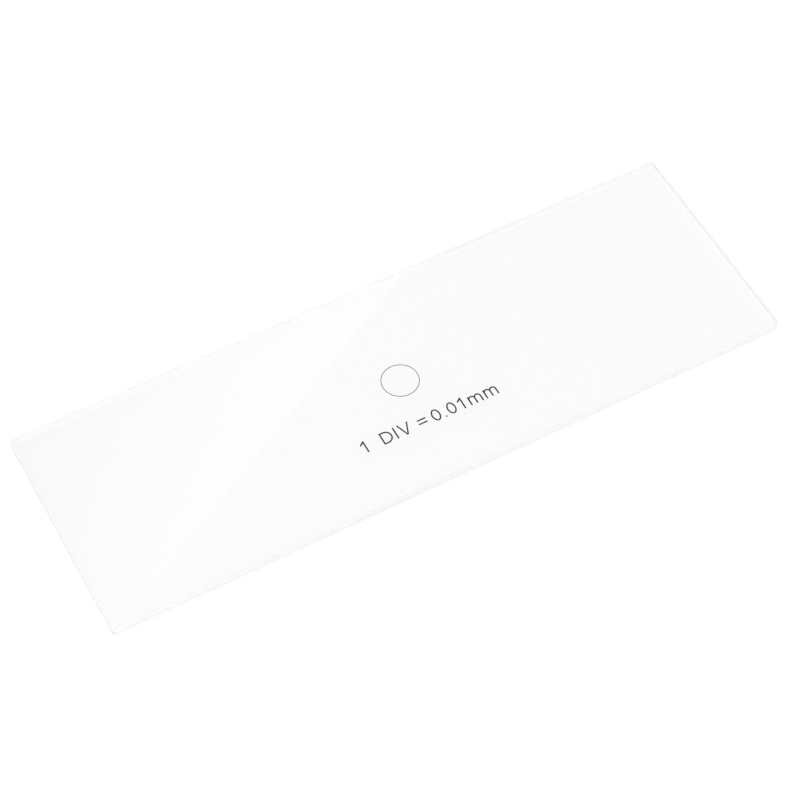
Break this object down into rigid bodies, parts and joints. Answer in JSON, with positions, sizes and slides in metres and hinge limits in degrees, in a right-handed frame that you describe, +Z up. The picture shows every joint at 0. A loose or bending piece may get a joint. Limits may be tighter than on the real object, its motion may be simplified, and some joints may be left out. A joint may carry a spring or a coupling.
{
  "type": "stage micrometer microscope slide",
  "caption": "Flat clear glass slide with ground edges, a printed locating ring, a fine ruled scale at its centre and a plain scale legend, for calibrating a microscope.",
  "frame": {"origin": "centre of the underside of the glass", "axes": "+X along the glass, to the right when the legend reads upright; +Y across the glass, from the legend towards the ring; +Z up out of the marked face"},
  "size_m": [0.076, 0.025, 0.0011],
  "materials": {
    "clear_glass": "polished faces with finely ground edges",
    "ring_ink": "thin printed line",
    "ruled_film": "very fine ruled metal film",
    "legend_ink": "matt printed ink"
  },
  "bodies": {
    "root": {"slide_glass": "clear_glass", "locating_ring": "ring_ink", "ruled_scale": "ruled_film", "scale_legend": "legend_ink"}
  },
  "joints": []
}
